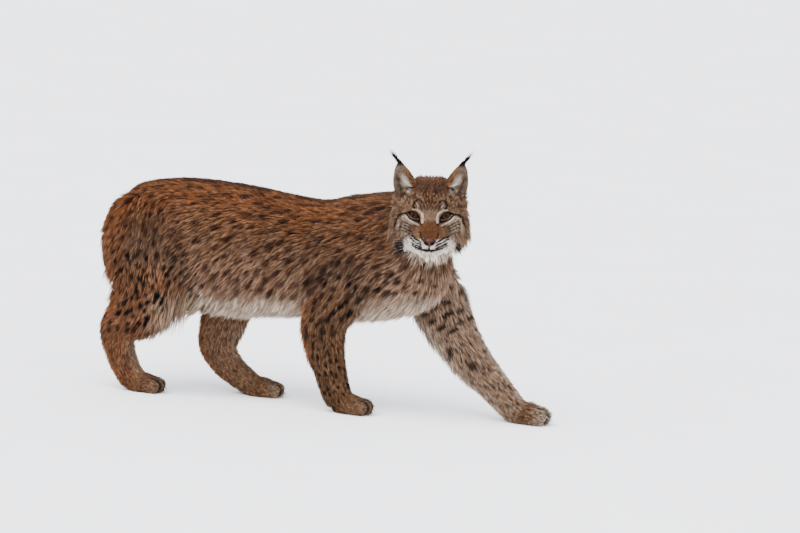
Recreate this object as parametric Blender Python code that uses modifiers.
"""A Eurasian lynx in its winter coat, walking, with its head turned to its right: a still, life-size model.

Units are metres and +Z is up. The lynx walks towards +X, so its right side is at -Y. All four soles are flats at
z = 0, and the model's box has its bottom centre at the origin.
The body is modelled whole, as sections lofted along the spine and down each leg, then parted into named nodes.
"""

import math
import random

import bmesh
import bpy
from mathutils import Matrix, Vector
from mathutils.bvhtree import BVHTree

GAP = 0.0003
RING_SIDES = 18
BODY_GRAIN = 0.0060
HEAD_GRAIN = 0.0036
BODY_TRIANGLES = 3800
HEAD_TRIANGLES = 2000

# Spine sections: x, lowest z, highest z, half width, z of the widest part.
TORSO = (
    (-0.546, 0.390, 0.470, 0.024, 0.430),
    (-0.538, 0.345, 0.515, 0.055, 0.425),
    (-0.515, 0.300, 0.552, 0.086, 0.425),
    (-0.470, 0.262, 0.574, 0.108, 0.430),
    (-0.380, 0.240, 0.590, 0.113, 0.435),
    (-0.280, 0.228, 0.593, 0.113, 0.430),
    (-0.170, 0.230, 0.587, 0.117, 0.415),
    (-0.050, 0.242, 0.573, 0.123, 0.400),
    (0.040, 0.250, 0.570, 0.123, 0.395),
    (0.120, 0.250, 0.592, 0.117, 0.400),
    (0.190, 0.254, 0.598, 0.109, 0.410),
    (0.260, 0.268, 0.570, 0.100, 0.420),
    (0.315, 0.290, 0.530, 0.088, 0.415),
    (0.350, 0.312, 0.500, 0.070, 0.410),
    (0.378, 0.345, 0.475, 0.048, 0.410),
    (0.390, 0.378, 0.450, 0.022, 0.415),
)
# The buttocks stand out on each side of a cleft that the tail hangs in: place and radii.
HAUNCHES = (
    ((-0.490, -0.062, 0.418), (0.094, 0.048, 0.134)),
    ((-0.474, 0.060, 0.422), (0.094, 0.047, 0.128)),
)
# Tubes: x, y, z, half size up or along the body, half size across it.
NECK = (
    (0.140, 0.000, 0.480, 0.112, 0.100),
    (0.215, -0.004, 0.500, 0.108, 0.098),
    (0.275, -0.020, 0.520, 0.100, 0.094),
    (0.318, -0.046, 0.538, 0.092, 0.088),
    (0.338, -0.076, 0.548, 0.078, 0.076),
)
TAIL = (
    (-0.512, 0.004, 0.512, 0.026, 0.030),
    (-0.550, 0.004, 0.494, 0.026, 0.029),
    (-0.576, 0.005, 0.454, 0.023, 0.026),
    (-0.583, 0.006, 0.400, 0.022, 0.025),
    (-0.580, 0.006, 0.350, 0.021, 0.024),
    (-0.574, 0.006, 0.318, 0.017, 0.019),
    (-0.570, 0.006, 0.302, 0.008, 0.009),
)
LEGS = {
    "right_hind": (
        (-0.425, -0.060, 0.470, 0.112, 0.050),
        (-0.434, -0.078, 0.370, 0.126, 0.052),
        (-0.436, -0.085, 0.285, 0.108, 0.048),
        (-0.470, -0.084, 0.218, 0.080, 0.042),
        (-0.514, -0.080, 0.166, 0.058, 0.037),
        (-0.512, -0.077, 0.112, 0.044, 0.034),
        (-0.492, -0.075, 0.062, 0.039, 0.034),
        (-0.470, -0.073, 0.028, 0.036, 0.034),
    ),
    "left_hind": (
        (-0.370, 0.060, 0.460, 0.110, 0.050),
        (-0.295, 0.078, 0.350, 0.104, 0.050),
        (-0.258, 0.078, 0.260, 0.080, 0.044),
        (-0.264, 0.070, 0.190, 0.066, 0.040),
        (-0.274, 0.064, 0.130, 0.056, 0.037),
        (-0.250, 0.056, 0.086, 0.045, 0.035),
        (-0.210, 0.049, 0.054, 0.038, 0.034),
        (-0.170, 0.045, 0.030, 0.034, 0.034),
    ),
    "right_fore": (
        (0.140, -0.068, 0.410, 0.082, 0.046),
        (0.100, -0.084, 0.315, 0.078, 0.046),
        (0.072, -0.086, 0.245, 0.068, 0.043),
        (0.078, -0.084, 0.172, 0.055, 0.038),
        (0.094, -0.081, 0.112, 0.046, 0.034),
        (0.110, -0.079, 0.062, 0.042, 0.034),
        (0.124, -0.078, 0.028, 0.038, 0.035),
    ),
    "left_fore": (
        (0.276, 0.064, 0.410, 0.092, 0.044),
        (0.338, 0.070, 0.318, 0.086, 0.046),
        (0.384, 0.067, 0.246, 0.072, 0.043),
        (0.438, 0.060, 0.176, 0.058, 0.039),
        (0.503, 0.054, 0.110, 0.048, 0.035),
        (0.554, 0.051, 0.062, 0.042, 0.035),
        (0.584, 0.050, 0.032, 0.038, 0.035),
    ),
}
# Paws: centre x and y, turn outwards in degrees (to the lynx's left is positive), length scale.
PAWS = {
    "right_hind": (-0.435, -0.074, -6.0, 0.95),
    "left_hind": (-0.130, 0.044, 3.0, 0.95),
    "right_fore": (0.160, -0.079, -6.0, 1.0),
    "left_fore": (0.622, 0.050, 2.0, 1.06),
}
PAW_LENGTH = 0.120
PAW_WIDTH = 0.080
PAW_HEIGHT = 0.060
TOES = 4
CLAW_LENGTH = 0.013
CLAW_RADIUS = 0.0032

# Where the body parts into nodes. Each leg has a box: centre, size, turn about the Y axis in degrees.
NECK_PLANE = (Vector((0.220, 0.0, 0.520)), Vector((0.6, 0.0, 1.0)))
LEG_BOXES = {
    "right_hind": ((-0.520, -0.160, 0.130), (0.420, 0.290, 0.300), 20.0),
    "left_hind": ((-0.250, 0.165, 0.062), (0.500, 0.290, 0.300), 0.0),
    "right_fore": ((0.110, -0.175, 0.090), (0.340, 0.290, 0.300), 0.0),
    "left_fore": ((0.4657, 0.165, 0.0404), (0.640, 0.290, 0.500), -25.0),
}

# Height of the cut at each hock.
HOCKS = {"right_hind": 0.128, "left_hind": 0.118}

# The head has its own axes: x out of the face, y to the lynx's left, z up, from the midpoint of the eyes.
EYE_MIDPOINT = Vector((0.3654, -0.1300, 0.5703))
HEAD_YAW = -73.5
HEAD_PITCH = 10.7
HEAD_ROLL = 1.8
# Balls that the head is made of: place, radii. Those off the middle are mirrored.
HEAD_BALLS = {
    "cranium": ((-0.068, 0.000, 0.018), (0.086, 0.088, 0.066)),
    "forehead": ((-0.030, 0.000, 0.028), (0.050, 0.066, 0.048)),
    "brow": ((-0.016, 0.038, 0.020), (0.028, 0.028, 0.022)),
    "ear_root": ((-0.068, 0.062, 0.010), (0.046, 0.041, 0.050)),
    "cheek": ((-0.042, 0.056, -0.020), (0.056, 0.050, 0.062)),
    "muzzle": ((0.010, 0.000, -0.050), (0.048, 0.044, 0.036)),
    "whisker_pad": ((0.028, 0.024, -0.066), (0.028, 0.027, 0.019)),
    "lower_jaw": ((-0.006, 0.000, -0.086), (0.048, 0.044, 0.026)),
    "chin": ((0.026, 0.000, -0.096), (0.022, 0.026, 0.016)),
    "jowl": ((-0.048, 0.062, -0.046), (0.042, 0.044, 0.052)),
    "throat": ((-0.036, 0.000, -0.076), (0.062, 0.078, 0.040)),
}
# The bridge of the nose, from the brow to the leather: x, z, half width, half height.
BRIDGE = ((-0.030, 0.022, 0.034, 0.026), (0.006, 0.000, 0.028, 0.024), (0.042, -0.040, 0.025, 0.019))
EYE_PLACE = Vector((-0.0090, 0.0435, -0.0005))
EYE_RADIUS = 0.0190
EYE_TURN = 12.0
LID_RADII = (0.0225, 0.0260, 0.0215)
LID_HALF_WIDTH = 0.0188
LID_HALF_HEIGHT = 0.0125
LID_SLANT = 18.0
NOSE_PLACE = Vector((0.0520, 0.0, -0.0545))
NOSE_RADII = (0.0125, 0.0172, 0.0125)
NOSTRIL_RADIUS = 0.0034
# The line between the lips, from under the nose to a corner: y, z. It is laid on the face from the front.
LIPS = ((0.000, -0.0790), (0.010, -0.0815), (0.022, -0.0815), (0.034, -0.0785), (0.042, -0.0760), (0.048, -0.0740))
PHILTRUM = ((0.0, -0.0640), (0.0, -0.0720), (0.0, -0.0800))
LIP_GROOVE = 0.0026
# Ears: sections from base to tip, as x, y, z of the middle, half width, half thickness.
EAR = (
    (-0.062, 0.061, 0.040, 0.037, 0.020),
    (-0.060, 0.066, 0.064, 0.037, 0.017),
    (-0.057, 0.072, 0.088, 0.031, 0.014),
    (-0.055, 0.078, 0.110, 0.022, 0.010),
    (-0.054, 0.083, 0.128, 0.010, 0.006),
    (-0.054, 0.086, 0.139, 0.003, 0.003),
)
EAR_OUTWARD = 20.0
EAR_WALL = 0.0035
# Locks are flat and tapered. Widths along one, as shares of its greatest, and how deep its root is sunk.
LOCK_WIDTHS = (0.70, 1.0, 0.80, 0.10)
LOCK_ROOT = 0.010
SEED = 11
# Ruff: rows of x in the head's axes, with first and last angle above level, number of locks a side and length.
RUFF_ROWS = (
    (0.010, -66, -86, 2, 0.034),
    (-0.012, -30, -74, 3, 0.042),
    (-0.038, 2, -80, 6, 0.058),
    (-0.070, 14, -64, 5, 0.064),
)
RUFF_MIDDLE_Z = -0.020
# Tuft of each ear: root and tip, and the number of its locks.
EAR_TUFT = (Vector((-0.054, 0.083, 0.128)), Vector((-0.060, 0.110, 0.171)))
EAR_TUFT_LOCKS = 5
# Fringe along each side of the belly: first and last x, spacing, z of the roots, length, width.
FRINGE = (-0.330, 0.300, 0.041, 0.268, 0.066, 0.052)
# Where the legs leave no room for it, on each side.
FRINGE_GAPS = {1: ((-0.370, -0.165), (0.260, 0.400)), -1: ((-0.040, 0.160),)}
# Other rows of locks, as the starts of rays, their way, the lie, length and width.
THIGH_ROWS = ((-0.9, 0.385), (-0.9, 0.335))


def clear_scene():
    for obj in list(bpy.data.objects):
        bpy.data.objects.remove(obj)


def new_object(name, mesh_or_bm):
    """An object of the scene's own collection, from a mesh or a bmesh."""
    mesh = mesh_or_bm
    if isinstance(mesh_or_bm, bmesh.types.BMesh):
        mesh = bpy.data.meshes.new(name)
        bmesh.ops.recalc_face_normals(mesh_or_bm, faces=mesh_or_bm.faces)
        mesh_or_bm.to_mesh(mesh)
        mesh_or_bm.free()
    obj = bpy.data.objects.new(name, mesh)
    bpy.context.scene.collection.objects.link(obj)
    return obj


def applied(obj):
    """Turns obj's modifiers and place into plain mesh."""
    bpy.context.view_layer.update()
    graph = bpy.context.evaluated_depsgraph_get()
    mesh = bpy.data.meshes.new_from_object(obj.evaluated_get(graph))
    mesh.transform(obj.matrix_world)
    name = obj.name
    bpy.data.objects.remove(obj)
    return new_object(name, mesh)


def copy_of(obj, name):
    return new_object(name, obj.data.copy())


def expanded(obj, distance=GAP):
    """A copy of obj, grown along its normals."""
    twin = copy_of(obj, obj.name + "_grown")
    grow = twin.modifiers.new("Grow", "DISPLACE")
    grow.mid_level = 0.0
    grow.strength = distance
    return applied(twin)


def combine(obj, other, operation, solver="MANIFOLD", keep=False):
    """obj with other taken away, joined or kept in common."""
    boolean = obj.modifiers.new("Combine", "BOOLEAN")
    boolean.operation = operation
    boolean.solver = solver
    boolean.object = other
    made = applied(obj)
    if not keep:
        bpy.data.objects.remove(other)
    return made


def largest_only(obj):
    """Keeps the largest closed surface and drops loose scraps."""
    bm = bmesh.new()
    bm.from_mesh(obj.data)
    todo = set(bm.verts)
    groups = []
    while todo:
        stack = [todo.pop()]
        group = set(stack)
        while stack:
            for edge in stack.pop().link_edges:
                for vert in edge.verts:
                    if vert not in group:
                        group.add(vert)
                        stack.append(vert)
        todo -= group
        groups.append(group)
    groups.sort(key=len, reverse=True)
    for group in groups[1:]:
        bmesh.ops.delete(bm, geom=list(group), context="VERTS")
    bmesh.ops.triangulate(bm, faces=bm.faces)
    bm.to_mesh(obj.data)
    bm.free()
    return obj


def reduced(obj, triangles):
    """obj with about this many triangles."""
    bm = bmesh.new()
    bm.from_mesh(obj.data)
    bmesh.ops.triangulate(bm, faces=bm.faces)
    bm.to_mesh(obj.data)
    bm.free()
    thin = obj.modifiers.new("Thin", "DECIMATE")
    thin.ratio = min(1.0, triangles / len(obj.data.polygons))
    return applied(obj)


def remeshed(obj, grain, rounds, factor=0.5):
    """One smooth closed skin round everything in obj."""
    skin = obj.modifiers.new("Skin", "REMESH")
    skin.mode = "VOXEL"
    skin.voxel_size = grain
    soften = obj.modifiers.new("Soften", "SMOOTH")
    soften.factor = factor
    soften.iterations = rounds
    return applied(obj)


def spline(stations, steps):
    """Stations and the sections between them, on a smooth curve through all of them."""
    rows = []
    count = len(stations)
    for i in range(count - 1):
        before, here = stations[max(i - 1, 0)], stations[i]
        there, after = stations[i + 1], stations[min(i + 2, count - 1)]
        for step in range(steps):
            t = step / steps
            row = []
            for a, b, c, d in zip(before, here, there, after):
                cubic = (3 * b - a - 3 * c + d) * t**3
                square = (2 * a - 5 * b + 4 * c - d) * t * t
                row.append(0.5 * (2 * b + (c - a) * t + square + cubic))
            rows.append(tuple(row))
    rows.append(tuple(stations[-1]))
    return rows


def add_ring(bm, centre, across, up, half_across, half_up, half_down, sides=RING_SIDES):
    """One section: an ellipse whose upper and lower halves may differ. Returns its edges."""
    made = bmesh.ops.create_circle(bm, radius=1.0, segments=sides)
    for vert in made["verts"]:
        side, rise = vert.co.x, vert.co.y
        rise *= half_up if rise > 0 else half_down
        vert.co = centre + across * (side * half_across) + up * rise
    return list({edge for vert in made["verts"] for edge in vert.link_edges})


def bridge(bm, rings):
    """Joins rings of edges into one closed tube with flat ends."""
    for first, second in zip(rings, rings[1:]):
        bmesh.ops.bridge_loops(bm, edges=first + second)
    for ring in (rings[0], rings[-1]):
        bmesh.ops.contextual_create(bm, geom=ring)


def add_trunk(bm):
    """The torso: upright sections from the rump to the front of the chest."""
    rings = []
    for x, low, high, half_width, middle in spline(TORSO, 3):
        centre = Vector((x, 0, middle))
        across, up = Vector((0, 1, 0)), Vector((0, 0, 1))
        rings.append(add_ring(bm, centre, across, up, half_width, high - middle, middle - low))
    bridge(bm, rings)


def add_tube(bm, stations, sides=RING_SIDES, steps=4):
    """A tube along the stations' centres, each section square to the way."""
    rows = spline(stations, steps)
    rings = []
    for i, row in enumerate(rows):
        before, after = rows[max(i - 1, 0)], rows[min(i + 1, len(rows) - 1)]
        along = (Vector(after[:3]) - Vector(before[:3])).normalized()
        across = Vector((0, 1, 0))
        if abs(along.y) > 0.9:
            across = Vector((0, 0, 1))
        across = (across - across.dot(along) * along).normalized()
        up = along.cross(across)
        half_up, half_across = row[3], row[-1]
        rings.append(add_ring(bm, Vector(row[:3]), across, up, half_across, half_up, half_up, sides))
    bridge(bm, rings)


def add_ellipsoid(bm, place, radii, turn=None, detail=16):
    """A ball of three radii at place, turned by a 3 by 3 matrix."""
    matrix = Matrix.Translation(place)
    if turn is not None:
        matrix = matrix @ turn.to_4x4()
    matrix = matrix @ Matrix.Diagonal((*radii, 1))
    bmesh.ops.create_uvsphere(bm, u_segments=detail, v_segments=detail // 2, radius=1.0, matrix=matrix)


def paw_matrix(leg):
    x, y, turn, scale = PAWS[leg]
    return Matrix.Translation((x, y, 0)) @ Matrix.Rotation(math.radians(turn), 4, "Z") @ Matrix.Scale(scale, 4)


def toe_places():
    """Each toe's middle in a paw's own frame: x forwards, y to the left."""
    places = []
    for i in range(TOES):
        share = (i + 0.5) / TOES * 2 - 1
        ahead = 0.036 - 0.018 * share * share
        places.append(Vector((ahead, share * PAW_WIDTH * 0.42, 0.0190)))
    return places


def add_paw(bm, leg):
    """The foot's pad and instep with four furred toes."""
    to_world = paw_matrix(leg)
    turn = to_world.to_3x3().normalized()
    scale = PAWS[leg][3]
    instep = (PAW_LENGTH * 0.42 * scale, PAW_WIDTH * 0.45, PAW_HEIGHT * 0.62)
    add_ellipsoid(bm, to_world @ Vector((-0.008, 0, 0.017)), instep, turn)
    for place in toe_places():
        add_ellipsoid(bm, to_world @ place, (0.031 * scale, 0.0118, 0.0250), turn)


def flatten_soles(obj):
    """Presses everything under the floor up onto it, so that each foot stands on a flat sole."""
    for vert in obj.data.vertices:
        vert.co.z = max(vert.co.z, 0.0)
    return obj


def cut_floor(obj):
    """Cuts obj flat at the floor."""
    bm = bmesh.new()
    bm.from_mesh(obj.data)
    bmesh.ops.bisect_plane(
        bm,
        geom=bm.verts[:] + bm.edges[:] + bm.faces[:],
        plane_co=(0, 0, 0),
        plane_no=(0, 0, -1),
        clear_outer=True,
    )
    edges = [edge for edge in bm.edges if edge.is_boundary]
    bmesh.ops.holes_fill(bm, edges=edges, sides=0)
    bmesh.ops.recalc_face_normals(bm, faces=bm.faces)
    bmesh.ops.triangulate(bm, faces=bm.faces)
    bm.to_mesh(obj.data)
    bm.free()
    return obj


def whole_body():
    """Trunk, neck, legs and paws as one smooth closed surface, cut flat at the floor."""
    bm = bmesh.new()
    add_trunk(bm)
    add_tube(bm, NECK)
    for place, radii in HAUNCHES:
        add_ellipsoid(bm, Vector(place), radii, detail=24)
    for leg, stations in LEGS.items():
        add_tube(bm, stations)
        add_paw(bm, leg)
    body = remeshed(new_object("body", bm), BODY_GRAIN, 9)
    return cut_floor(reduced(body, BODY_TRIANGLES))


def head_matrix():
    """From the head's own axes to the world's."""
    turn = Matrix.Rotation(math.radians(HEAD_YAW), 4, "Z")
    turn = turn @ Matrix.Rotation(math.radians(HEAD_PITCH), 4, "Y")
    turn = turn @ Matrix.Rotation(math.radians(HEAD_ROLL), 4, "X")
    return Matrix.Translation(EYE_MIDPOINT) @ turn


def eye_turn(side):
    """The way an eye looks: a little outwards."""
    return Matrix.Rotation(math.radians(EYE_TURN * side), 3, "Z")


def mirrored(place, side):
    return Vector((place[0], place[1] * side, place[2]))


def head_core():
    """The head without its coat's long locks, in its own axes."""
    bm = bmesh.new()
    for place, radii in HEAD_BALLS.values():
        for side in (1, -1) if place[1] else (1,):
            add_ellipsoid(bm, mirrored(place, side), radii, detail=24)
    rings = []
    for x, z, half_width, half_height in spline(BRIDGE, 4):
        along = Vector((0.76, 0, -0.65))
        up = Vector((0.65, 0, 0.76))
        centre = Vector((x, 0, z))
        rings.append(add_ring(bm, centre, Vector((0, 1, 0)), up, half_width, half_height, half_height))
    bridge(bm, rings)
    for side in (1, -1):
        place = mirrored(EYE_PLACE, side) + eye_turn(side) @ Vector((-0.001, 0, 0))
        add_ellipsoid(bm, place, LID_RADII, eye_turn(side), detail=24)
    return reduced(remeshed(new_object("head", bm), HEAD_GRAIN, 14), HEAD_TRIANGLES)


def almond(side):
    """The opening between the lids: an almond pushed straight out through them."""
    bm = bmesh.new()
    rings = []
    steps = 6
    slant = math.radians(LID_SLANT) * side
    for ahead in (0.002, 0.040):
        verts = []
        for i in range(2 * steps):
            t = (i % steps) / steps * 2 - 1
            upper = i < steps
            across = t if upper else -t
            rise = (1 - across * across) * (1.0 if upper else -0.85)
            y = across * LID_HALF_WIDTH
            z = rise * LID_HALF_HEIGHT
            point = Vector((ahead, y * math.cos(slant) - z * math.sin(slant), y * math.sin(slant) + z * math.cos(slant)))
            verts.append(bm.verts.new(mirrored(EYE_PLACE, side) + eye_turn(side) @ point))
        rings.append([bm.edges.new((verts[i], verts[(i + 1) % len(verts)])) for i in range(len(verts))])
    bridge(bm, rings)
    return new_object("almond", bm)


def eyeball(name, side, radius):
    bm = bmesh.new()
    turn = eye_turn(side) @ Matrix.Rotation(math.radians(90), 3, "Y")
    add_ellipsoid(bm, mirrored(EYE_PLACE, side), (radius,) * 3, turn, detail=16)
    return new_object(name, bm)


def nose_shape(name, grow=0.0):
    """The leather of the nose: broad above, narrowing to the lip below."""
    bm = bmesh.new()
    radii = [radius + grow for radius in NOSE_RADII]
    add_ellipsoid(bm, NOSE_PLACE, radii, Matrix.Rotation(math.radians(20), 3, "Y"), detail=20)
    for vert in bm.verts:
        rise = (vert.co.z - NOSE_PLACE.z) / NOSE_RADII[2]
        vert.co.y *= 1.0 + 0.22 * max(-1.0, min(1.0, rise))
    return new_object(name, bm)


def groove(name, head, points, radius):
    """A thin closed tube laid on the face along points of y and z, to be cut away."""
    tree = BVHTree.FromPolygons([vert.co for vert in head.data.vertices], [face.vertices for face in head.data.polygons])
    stations = []
    for y, z in points:
        spot = tree.ray_cast(Vector((0.3, y, z)), Vector((-1, 0, 0)))[0]
        stations.append((spot.x, y, z, radius, radius))
    bm = bmesh.new()
    add_tube(bm, stations, sides=6, steps=2)
    return new_object(name, bm)


def make_head():
    """The head with eye sockets, lids, the line of the mouth and the hollow that the nose sits in."""
    head = head_core()
    for side in (1, -1):
        head = combine(head, almond(side), "DIFFERENCE")
        head = combine(head, eyeball("socket", side, EYE_RADIUS + GAP), "DIFFERENCE")
    head = combine(head, nose_shape("nose_bed", GAP), "DIFFERENCE")
    lips = [(-y, z) for y, z in reversed(LIPS[1:])] + list(LIPS)
    grooves = [groove("lips", head, lips, LIP_GROOVE), groove("philtrum", head, PHILTRUM, LIP_GROOVE * 0.6)]
    for cutter in grooves:
        head = combine(head, cutter, "DIFFERENCE")
    return head


def make_nose():
    nose = nose_shape("nose")
    for side in (1, -1):
        bm = bmesh.new()
        place = NOSE_PLACE + Vector((0.0105, 0.0082 * side, -0.0025))
        add_ellipsoid(bm, place, (0.005, NOSTRIL_RADIUS, NOSTRIL_RADIUS * 0.8), detail=10)
        nose = combine(nose, new_object("nostril", bm), "DIFFERENCE")
    return nose


def ear_rings(bm, side, widen, thicken, ahead):
    """Sections of one ear, turned so that the cup looks forwards and a little out."""
    rings = []
    turn = Matrix.Rotation(math.radians(EAR_OUTWARD * side), 3, "Z")
    for x, y, z, half_width, half_thick in spline(EAR, 2):
        centre = mirrored((x, y, z), side) + turn @ Vector((ahead, 0, 0))
        across, up = turn @ Vector((0, 1, 0)), turn @ Vector((1, 0, 0))
        wide = max(half_width - widen, 0.0006)
        thick = max(half_thick - thicken, 0.0006)
        rings.append(add_ring(bm, centre, across, up, wide, thick, thick, 12))
    bridge(bm, rings)


def lock_path(tree, root, out, lie, length, lift, droop):
    """Points along a lock that follows the surface until it hangs free of it, with the way out at each."""
    steps = len(LOCK_WIDTHS) - 1
    way = (lie - lie.dot(out) * out).normalized()
    path = [(root - out * LOCK_ROOT - way * length * 0.10, out)]
    place = root - way * length * 0.08
    for i in range(1, steps + 1):
        way = (way + Vector((0, 0, -droop))).normalized()
        place = place + way * length / steps
        spot, normal = tree.find_nearest(place)[:2]
        height = lift * i / steps
        if (place - spot).dot(normal) < height:
            place = spot + normal * height
            way = (way - 0.8 * way.dot(normal) * normal).normalized()
            out = normal
        path.append((place, out))
    return path


def new_lock(locks, tree, root, out, lie, length, width, thickness=0.008, lift=0.004, droop=0.15):
    """Adds one flat, tapered lock, as an object of its own, to the list."""
    bm = bmesh.new()
    rings = []
    path = lock_path(tree, root, out, lie, length, lift, droop)
    for i, share in enumerate(LOCK_WIDTHS):
        place, up = path[i]
        along = (path[min(i + 1, len(path) - 1)][0] - path[max(i - 1, 0)][0]).normalized()
        side = along.cross(up).normalized()
        up = side.cross(along)
        half = max(thickness * (1.1 - 0.25 * i), 0.002) / 2
        rings.append(add_ring(bm, place, side, up, width * share / 2, half, half, 4))
    bridge(bm, rings)
    locks.append(new_object("lock", bm))


def surface_of(obj):
    mesh = obj.data
    return BVHTree.FromPolygons([vert.co for vert in mesh.vertices], [face.vertices for face in mesh.polygons])


def joined(node, locks, others=()):
    """The node with its locks fused to it, after they are cut clear of the other nodes."""
    group = bpy.data.collections.new("locks")
    first = locks[0]
    for lock in locks[1:]:
        group.objects.link(lock)
    union = first.modifiers.new("Fuse", "BOOLEAN")
    union.operand_type = "COLLECTION"
    union.collection = group
    union.operation = "UNION"
    union.solver = "MANIFOLD"
    fur = applied(first)
    for lock in locks[1:]:
        bpy.data.objects.remove(lock)
    bpy.data.collections.remove(group)
    for other in others:
        fur = combine(fur, expanded(other, 2 * GAP), "DIFFERENCE")
    name = node.name
    made = largest_only(combine(node, fur, "UNION"))
    made.name = name
    return made


def ruff_locks(head, rng):
    """Locks that hang from the cheeks and under the jaw."""
    tree = surface_of(head)
    locks = []
    for x, first, last, count, length in RUFF_ROWS:
        for side in (1, -1):
            for i in range(count):
                angle = math.radians(first + (last - first) * (i + rng.uniform(-0.2, 0.2)) / (count - 1))
                outwards = Vector((0, math.cos(angle) * side, math.sin(angle)))
                start = Vector((x + rng.uniform(-0.004, 0.004), 0, RUFF_MIDDLE_Z)) + outwards * 0.3
                root, normal = tree.ray_cast(start, -outwards)[:2]
                lie = Vector((-0.30, outwards.y * 0.35 + rng.uniform(-0.06, 0.06), -0.85))
                size = length * rng.uniform(0.88, 1.12)
                new_lock(locks, tree, root, normal, lie, size, size * 0.48)
    return locks


def row_locks(node, starts, towards, lie, length, width, rng):
    """Locks rooted where rays from starts, cast along towards, first meet the node."""
    tree = surface_of(node)
    locks = []
    for start in starts:
        root, normal = tree.ray_cast(Vector(start), Vector(towards).normalized())[:2]
        if root is not None:
            turned = Vector(lie) + Vector([rng.uniform(-0.08, 0.08) for _ in range(3)])
            new_lock(locks, tree, root, normal, turned, length * rng.uniform(0.88, 1.12), width)
    return locks


def fringe_locks(torso, rng):
    """A row of long locks along each side, which hang below the belly."""
    first, last, spacing, height, length, width = FRINGE
    locks = []
    for side in (1, -1):
        starts = []
        x = first
        while x < last:
            if not any(low < x < high for low, high in FRINGE_GAPS[side]):
                starts.append((x, 0.5 * side, height + rng.uniform(-0.006, 0.006)))
            x += spacing * rng.uniform(0.92, 1.08)
        locks += row_locks(torso, starts, (0, -side, 0), (-0.45, 0, -0.9), length, width, rng)
    return locks


def ear_tuft_locks(side):
    """Long thin locks that stand fanned on the ear's tip."""
    root, tip = (mirrored(point, side) for point in EAR_TUFT)
    along = tip - root
    locks = []
    for i in range(EAR_TUFT_LOCKS):
        share = i / (EAR_TUFT_LOCKS - 1) * 2 - 1
        across = Vector((0.35, 0.80 * side, -0.50)).normalized()
        spread = across * share * 0.06 + Vector((share * share * -0.05, 0, 0))
        lie = (along.normalized() + spread).normalized()
        length = along.length * (1.0 - 0.26 * abs(share))
        rings = []
        bm = bmesh.new()
        wide = lie.cross(Vector((1, 0, 0))).normalized()
        for t, half in ((-0.12, 0.0022), (0.30, 0.0034), (0.70, 0.0024), (1.0, 0.0004)):
            centre = root + across * share * 0.0016 + lie * length * t
            rings.append(add_ring(bm, centre, wide, Vector((1, 0, 0)), half, half * 0.8, half * 0.8, 4))
        bridge(bm, rings)
        locks.append(new_object("lock", bm))
    return locks


def make_ear(name, side):
    """An ear with its cup open to the front, and the long tuft on its tip."""
    bm = bmesh.new()
    ear_rings(bm, side, 0, 0, 0)
    ear = new_object(name, bm)
    bm = bmesh.new()
    ear_rings(bm, side, EAR_WALL * 1.6, EAR_WALL, 0.012)
    ear = combine(ear, new_object("cup", bm), "DIFFERENCE")
    return joined(ear, ear_tuft_locks(side))


def box(name, centre, size, turn_y=0.0):
    bm = bmesh.new()
    matrix = Matrix.Translation(centre) @ Matrix.Rotation(math.radians(turn_y), 4, "Y")
    bmesh.ops.create_cube(bm, size=1.0, matrix=matrix @ Matrix.Diagonal((*size, 1)))
    return new_object(name, bm)


def neck_box(name, grow=0.0):
    """A big box whose near face is the plane between neck and torso."""
    place, normal = NECK_PLANE
    normal = normal.normalized()
    size = 0.5
    turn = normal.to_track_quat("X", "Y").to_matrix().to_4x4()
    bm = bmesh.new()
    matrix = Matrix.Translation(place + normal * (size / 2 - grow)) @ turn
    bmesh.ops.create_cube(bm, size=size, matrix=matrix)
    return new_object(name, bm)


def leg_box(name, leg, grow=0.0):
    centre, size, turn = LEG_BOXES[leg]
    return box(name, centre, [length + 2 * grow for length in size], turn)


def make_claws(leg, foot):
    """One claw before each toe, drawn in so that only its hook shows."""
    claws = []
    to_world = paw_matrix(leg)
    grown = expanded(foot)
    for i, place in enumerate(toe_places()):
        points = []
        for t in (0.0, 0.35, 0.7, 1.0):
            ahead = place.x + 0.018 + CLAW_LENGTH * t
            drop = 0.0215 - 0.012 * t * t
            points.append((*(to_world @ Vector((ahead, place.y, drop))), CLAW_RADIUS * (1 - 0.85 * t), CLAW_RADIUS * 0.6 * (1 - 0.8 * t)))
        bm = bmesh.new()
        add_tube(bm, points, sides=6, steps=1)
        claw = new_object("claw_%s_%d" % (leg, i + 1), bm)
        claws.append(largest_only(combine(claw, grown, "DIFFERENCE", keep=True)))
    bpy.data.objects.remove(grown)
    return claws


def material(name, colour, roughness):
    made = bpy.data.materials.new(name)
    made.use_nodes = True
    shader = made.node_tree.nodes["Principled BSDF"]
    shader.inputs["Base Color"].default_value = (*colour, 1.0)
    shader.inputs["Roughness"].default_value = roughness
    return made


def place_in_world(obj):
    obj.data.transform(head_matrix())
    return obj


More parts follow.
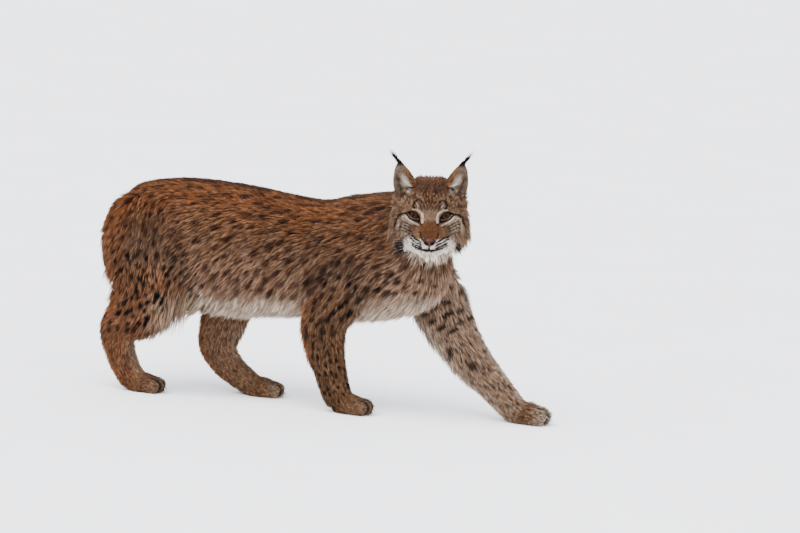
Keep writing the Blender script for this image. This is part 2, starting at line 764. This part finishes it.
def clad(torso, head, tail, legs, neck):
    """Gives torso, tail and forelegs their long locks."""
    rng = random.Random(SEED)
    locks = fringe_locks(torso, rng)
    back = [(x, y, z) for x, z in THIGH_ROWS for y in (-0.086, -0.054, 0.056, 0.086)]
    locks += row_locks(torso, back, (1, 0, 0), (-0.05, 0, -1), 0.055, 0.034, rng)
    torso = joined(torso, locks, [*legs.values(), tail, neck, head])
    locks = []
    for height, turn in ((0.385, 0), (0.345, 30)):
        for quarter in range(5):
            angle = math.radians(72 * quarter + turn + 180)
            outwards = Vector((math.cos(angle), math.sin(angle), 0))
            start = Vector((-0.580, 0.006, height)) + outwards * 0.2
            locks += row_locks(tail, [start], -outwards, (0, 0, -1), 0.055, 0.026, rng)
    tail = joined(tail, locks, [torso])
    elbows = {
        "right_fore": [(-0.3, y, z) for z in (0.222, 0.185) for y in (-0.098, -0.074)],
        "left_fore": [(0.1, y, z) for z in (0.225, 0.190, 0.155) for y in (0.052, 0.078)],
    }
    for leg, starts in elbows.items():
        locks = row_locks(legs[leg], starts, (1, 0, 0), (-0.1, 0, -1), 0.045, 0.028, rng)
        legs[leg] = joined(legs[leg], locks, [torso])
    return torso, tail


def part_at_hock(legs):
    """Parts each hind leg at the hock, where it bends round a wide gap, into leg and foot."""
    feet = {}
    for leg, height in HOCKS.items():
        whole = legs[leg]
        foot = combine(copy_of(whole, "foot_" + leg), box("cut", (0, 0, height - 0.5), (4, 4, 1)), "INTERSECT")
        feet[leg] = largest_only(foot)
        upper = combine(whole, box("cut", (0, 0, height + GAP - 0.5), (4, 4, 1)), "DIFFERENCE")
        legs[leg] = largest_only(upper)
    return feet


def build():
    """Makes every node and returns them."""
    rng = random.Random(SEED)
    body = whole_body()
    head = make_head()
    ruff = ruff_locks(head, rng)
    for lock in ruff:
        place_in_world(lock)
    head = place_in_world(head)
    nose = place_in_world(make_nose())
    eyes = [place_in_world(eyeball(name, side, EYE_RADIUS)) for name, side in (("eye_left", 1), ("eye_right", -1))]
    grown_head = expanded(head)
    ears = []
    for name, side in (("ear_left", 1), ("ear_right", -1)):
        ear = place_in_world(make_ear(name, side))
        ears.append(largest_only(combine(ear, grown_head, "DIFFERENCE", keep=True)))
    body = combine(body, grown_head, "DIFFERENCE")
    head = joined(head, ruff, [body, *ears])
    bm = bmesh.new()
    add_tube(bm, TAIL, 12, 2)
    tail = largest_only(combine(new_object("tail", bm), expanded(body), "DIFFERENCE"))
    neck = largest_only(combine(copy_of(body, "neck"), neck_box("cut"), "INTERSECT"))
    torso = combine(copy_of(body, "torso"), neck_box("cut", GAP), "DIFFERENCE")
    legs = {}
    for leg in LEGS:
        made = combine(copy_of(body, "leg_" + leg), leg_box("cut", leg), "INTERSECT")
        legs[leg] = largest_only(made)
        torso = combine(torso, leg_box("cut", leg, GAP), "DIFFERENCE")
    torso = largest_only(torso)
    bpy.data.objects.remove(body)
    feet = part_at_hock(legs)
    torso, tail = clad(torso, head, tail, legs, neck)
    claws = []
    for leg, whole in legs.items():
        claws += make_claws(leg, feet.get(leg, whole))
    return [torso, neck, head, nose, tail] + eyes + ears + [*legs.values(), *feet.values()] + claws


def settle(nodes):
    """Brings the bottom centre of the box round all nodes to the origin."""
    corners = [vert.co for node in nodes for vert in node.data.vertices]
    low = [min(corner[axis] for corner in corners) for axis in range(3)]
    high = [max(corner[axis] for corner in corners) for axis in range(3)]
    shift = Vector((-(low[0] + high[0]) / 2, -(low[1] + high[1]) / 2, 0))
    for node in nodes:
        node.data.transform(Matrix.Translation(shift))
    return shift


COLOURS = {
    "coat": ((0.36, 0.22, 0.12), 0.9),
    "face": ((0.40, 0.28, 0.18), 0.9),
    "tail": ((0.25, 0.15, 0.09), 0.9),
    "nose": ((0.30, 0.13, 0.10), 0.5),
    "eye": ((0.32, 0.17, 0.05), 0.1),
    "claw": ((0.05, 0.04, 0.035), 0.35),
}


def dress(nodes):
    """Gives each node a material of its own, in the colour of its kind."""
    for node in nodes:
        kind = node.name.split("_")[0]
        kind = {"head": "face", "ear": "face"}.get(kind, kind if kind in COLOURS else "coat")
        colour, roughness = COLOURS[kind]
        node.data.materials.clear()
        node.data.materials.append(material(node.name, colour, roughness))


def gather(nodes):
    """Moves the nodes into the model's own collection."""
    model = bpy.data.collections.new("eurasian_lynx")
    bpy.context.scene.collection.children.link(model)
    for node in nodes:
        bpy.context.scene.collection.objects.unlink(node)
        model.objects.link(node)


clear_scene()
lynx = build()
settle(lynx)
dress(lynx)
gather(lynx)
